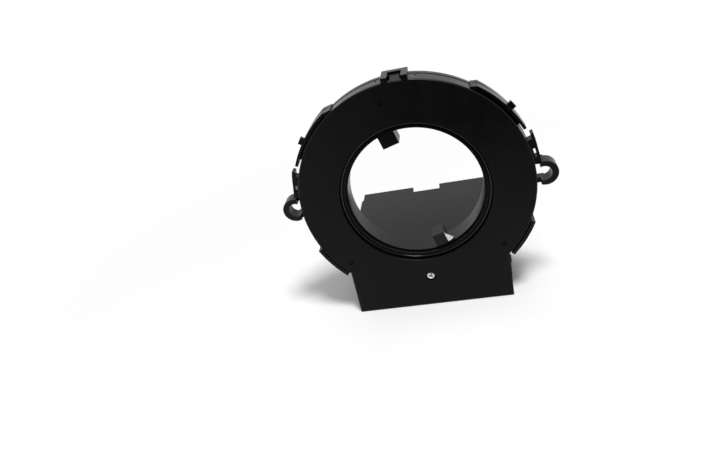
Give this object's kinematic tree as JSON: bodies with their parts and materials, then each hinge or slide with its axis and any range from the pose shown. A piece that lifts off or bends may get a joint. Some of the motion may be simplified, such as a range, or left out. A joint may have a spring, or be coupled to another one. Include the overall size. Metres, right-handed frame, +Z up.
{
  "type": "steering angle sensor",
  "caption": "Steering angle sensor: a flat ring around the steering column with a geared rotor in its bore, snap ears at the sides and an electronics box with a connector socket behind.",
  "frame": {"origin": "on the column bore's axis, in the plane of the cover's front face", "axes": "+Y back along the bore axis, +Z up, +X to the right seen from the front"},
  "size_m": [0.1088, 0.0664, 0.1003],
  "materials": {
    "black_moulding": "fine satin moulded grain",
    "rotor_black": "polished moulding",
    "gear_plastic": "natural acetal",
    "magnet": "sintered ferrite",
    "board_green": "solder mask over glass laminate",
    "chip_black": "moulded package",
    "ceramic": "fired ceramic with tinned ends",
    "header_plastic": "glass-filled insulator",
    "tinned_pin": "tin-plated",
    "bright_steel": "zinc-plated",
    "can_aluminium": "drawn can"
  },
  "bodies": {
    "housing": {"front_cover": "black_moulding", "rear_housing": "black_moulding", "box_lid": "black_moulding", "cover_screw": "bright_steel", "sensor_board": "board_green", "angle_chips": "chip_black", "filter_capacitors": "ceramic", "link_header": "header_plastic", "link_pins": "tinned_pin", "main_board": "board_green", "board_screws": "bright_steel", "connector_header": "header_plastic", "connector_pins": "tinned_pin", "microcontroller": "chip_black", "bus_transceiver": "chip_black", "voltage_regulator": "chip_black", "resonator": "bright_steel", "buffer_capacitor": "can_aluminium", "chip_resistors": "chip_black", "ceramic_capacitors": "ceramic"},
    "rotor": {"rotor_ring": "rotor_black"},
    "left_gear": {"measuring_gear_left": "gear_plastic", "magnet_left": "magnet"},
    "right_gear": {"measuring_gear_right": "gear_plastic", "magnet_right": "magnet"}
  },
  "joints": [
    {"name": "rotor_turn", "type": "hinge", "parent": "housing", "child": "rotor", "pos_m": [0, 0, 0], "axis": [0, 1, 0], "continuous": true},
    {"name": "left_gear_turn", "type": "hinge", "parent": "housing", "child": "left_gear", "pos_m": [-0.01975, 0, -0.03752], "axis": [0, 1, 0], "continuous": true},
    {"name": "right_gear_turn", "type": "hinge", "parent": "housing", "child": "right_gear", "pos_m": [0.01895, 0, -0.03882], "axis": [0, 1, 0], "continuous": true}
  ],
  "couplings": [
    {"joint": "left_gear_turn", "follows": "rotor_turn", "ratio": -3.8182},
    {"joint": "right_gear_turn", "follows": "rotor_turn", "ratio": -3.5}
  ]
}
